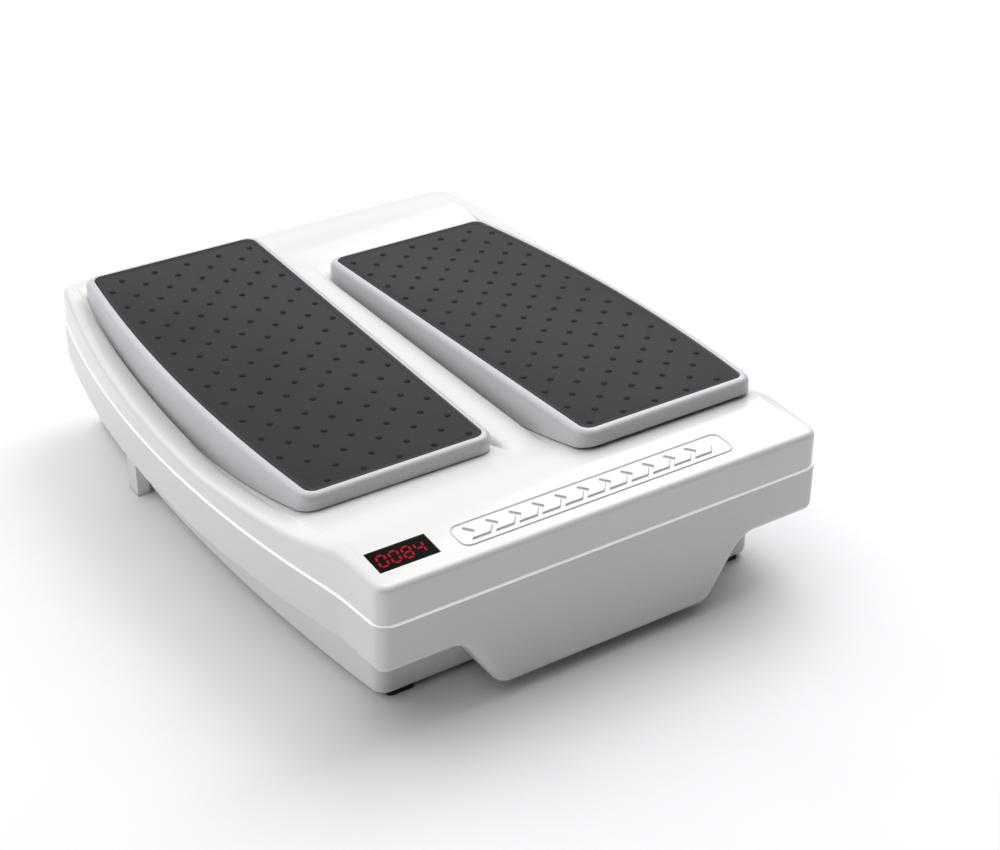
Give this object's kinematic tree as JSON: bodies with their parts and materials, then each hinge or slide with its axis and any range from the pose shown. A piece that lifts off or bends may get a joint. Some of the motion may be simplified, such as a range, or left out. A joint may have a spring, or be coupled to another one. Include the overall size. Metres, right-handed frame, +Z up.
{
  "type": "seated leg exerciser",
  "caption": "Low motorised foot plate for use while seated: two rubber-topped foot pads swing to and fro in opposite directions in a white casing with a small display.",
  "frame": {"origin": "on the floor under the middle of the machine's outer box", "axes": "+X to the right of a person looking at the display end, +Y from the display end to the back, +Z up"},
  "size_m": [0.355, 0.4336, 0.1185],
  "materials": {
    "cover_white": "smooth moulded ABS, satin",
    "shell_white": "smooth moulded ABS, satin",
    "pan_white": "fine spark texture",
    "tray_grey": "satin light grey",
    "mat_rubber": "dull moulded rubber with small raised dots",
    "foot_rubber": "dull black",
    "pad_rubber": "dull light grey",
    "zinc_steel": "zinc plated pressing",
    "screw_steel": "zinc plated",
    "ground_steel": "ground and oiled",
    "nylon_white": "natural nylon",
    "bronze": "sintered bronze",
    "motor_metal": "drawn can",
    "gearbox_metal": "cast housing",
    "window_smoke": "smoked acrylic",
    "digit_black": "display block",
    "board_green": "solder resist",
    "component_black": "moulded parts",
    "switch_black": "moulded nylon"
  },
  "bodies": {
    "root": {"back_left_foot": "foot_rubber", "back_right_foot": "foot_rubber", "base_pan": "pan_white", "board_components": "component_black", "board_screws": "screw_steel", "control_board": "board_green", "cord_gland": "foot_rubber", "cover_screws": "screw_steel", "digit_module": "digit_black", "display_board": "board_green", "display_window": "window_smoke", "front_apron": "shell_white", "front_left_foot": "foot_rubber", "front_right_foot": "foot_rubber", "gearbox": "gearbox_metal", "infrared_receiver": "digit_black", "left_inner_rail": "zinc_steel", "left_leg": "shell_white", "left_leg_pad": "pad_rubber", "left_outer_rail": "zinc_steel", "lower_shell": "shell_white", "motor_bracket": "zinc_steel", "motor_can": "motor_metal", "motor_screws": "screw_steel", "pivot_post": "ground_steel", "right_inner_rail": "zinc_steel", "right_leg": "shell_white", "right_leg_pad": "pad_rubber", "right_outer_rail": "zinc_steel", "switch_housing": "switch_black", "upper_cover": "cover_white"},
    "left_pad": {"left_back_axle": "ground_steel", "left_carriage": "zinc_steel", "left_front_axle": "ground_steel", "left_mat": "mat_rubber", "left_tray": "tray_grey", "left_tray_screws": "screw_steel"},
    "right_pad": {"right_back_axle": "ground_steel", "right_carriage": "zinc_steel", "right_front_axle": "ground_steel", "right_mat": "mat_rubber", "right_tray": "tray_grey", "right_tray_screws": "screw_steel"},
    "rocker": {"rocker_lever": "zinc_steel", "sector_gear": "ground_steel", "left_drive_pin": "ground_steel", "right_drive_pin": "ground_steel", "pivot_bush": "bronze"},
    "output_pinion": {"output_pinion": "ground_steel"},
    "left_back_inner_roller": {"left_back_inner_roller": "nylon_white"},
    "left_back_outer_roller": {"left_back_outer_roller": "nylon_white"},
    "left_front_inner_roller": {"left_front_inner_roller": "nylon_white"},
    "left_front_outer_roller": {"left_front_outer_roller": "nylon_white"},
    "right_back_inner_roller": {"right_back_inner_roller": "nylon_white"},
    "right_back_outer_roller": {"right_back_outer_roller": "nylon_white"},
    "right_front_inner_roller": {"right_front_inner_roller": "nylon_white"},
    "right_front_outer_roller": {"right_front_outer_roller": "nylon_white"},
    "switch_key": {"switch_key": "switch_black"}
  },
  "joints": [
    {"name": "left_pad_swing", "type": "hinge", "parent": "root", "child": "left_pad", "pos_m": [0, 0.013, 0.7235], "axis": [1, 0, 0], "range_deg": [-4, 0]},
    {"name": "right_pad_swing", "type": "hinge", "parent": "root", "child": "right_pad", "pos_m": [0, 0.013, 0.7235], "axis": [1, 0, 0], "range_deg": [0, 4]},
    {"name": "lever_rock", "type": "hinge", "parent": "root", "child": "rocker", "pos_m": [0, 0.013, 0.0645], "axis": [0, 0, 1], "range_deg": [0, 38.3]},
    {"name": "pinion_turn", "type": "hinge", "parent": "root", "child": "output_pinion", "pos_m": [0, -0.059, 0.0615], "axis": [0, 0, 1], "range_deg": [-191.5, 0]},
    {"name": "left_back_inner_roll", "type": "hinge", "parent": "left_pad", "child": "left_back_inner_roller", "pos_m": [-0.052, 0.11589, 0.06954], "axis": [1, 0, 0], "range_deg": [0, 299]},
    {"name": "left_back_outer_roll", "type": "hinge", "parent": "left_pad", "child": "left_back_outer_roller", "pos_m": [-0.136, 0.11589, 0.06954], "axis": [1, 0, 0], "range_deg": [0, 299]},
    {"name": "left_front_inner_roll", "type": "hinge", "parent": "left_pad", "child": "left_front_inner_roller", "pos_m": [-0.052, -0.04402, 0.06396], "axis": [1, 0, 0], "range_deg": [0, 299]},
    {"name": "left_front_outer_roll", "type": "hinge", "parent": "left_pad", "child": "left_front_outer_roller", "pos_m": [-0.136, -0.04402, 0.06396], "axis": [1, 0, 0], "range_deg": [0, 299]},
    {"name": "right_back_inner_roll", "type": "hinge", "parent": "right_pad", "child": "right_back_inner_roller", "pos_m": [0.052, 0.07002, 0.06396], "axis": [1, 0, 0], "range_deg": [-299, 0]},
    {"name": "right_back_outer_roll", "type": "hinge", "parent": "right_pad", "child": "right_back_outer_roller", "pos_m": [0.136, 0.07002, 0.06396], "axis": [1, 0, 0], "range_deg": [-299, 0]},
    {"name": "right_front_inner_roll", "type": "hinge", "parent": "right_pad", "child": "right_front_inner_roller", "pos_m": [0.052, -0.08989, 0.06954], "axis": [1, 0, 0], "range_deg": [-299, 0]},
    {"name": "right_front_outer_roll", "type": "hinge", "parent": "right_pad", "child": "right_front_outer_roller", "pos_m": [0.136, -0.08989, 0.06954], "axis": [1, 0, 0], "range_deg": [-299, 0]},
    {"name": "switch_tip", "type": "hinge", "parent": "root", "child": "switch_key", "pos_m": [0.055, 0.2124, 0.0635], "axis": [1, 0, 0], "range_deg": [0, 16]}
  ],
  "couplings": [
    {"joint": "right_pad_swing", "follows": "left_pad_swing", "ratio": -1},
    {"joint": "lever_rock", "follows": "left_pad_swing", "ratio": -9.53},
    {"joint": "pinion_turn", "follows": "left_pad_swing", "ratio": 47.65},
    {"joint": "left_back_inner_roll", "follows": "left_pad_swing", "ratio": -74.564},
    {"joint": "left_back_outer_roll", "follows": "left_pad_swing", "ratio": -74.564},
    {"joint": "left_front_inner_roll", "follows": "left_pad_swing", "ratio": -74.564},
    {"joint": "left_front_outer_roll", "follows": "left_pad_swing", "ratio": -74.564},
    {"joint": "right_back_inner_roll", "follows": "left_pad_swing", "ratio": 74.564},
    {"joint": "right_back_outer_roll", "follows": "left_pad_swing", "ratio": 74.564},
    {"joint": "right_front_inner_roll", "follows": "left_pad_swing", "ratio": 74.564},
    {"joint": "right_front_outer_roll", "follows": "left_pad_swing", "ratio": 74.564}
  ]
}
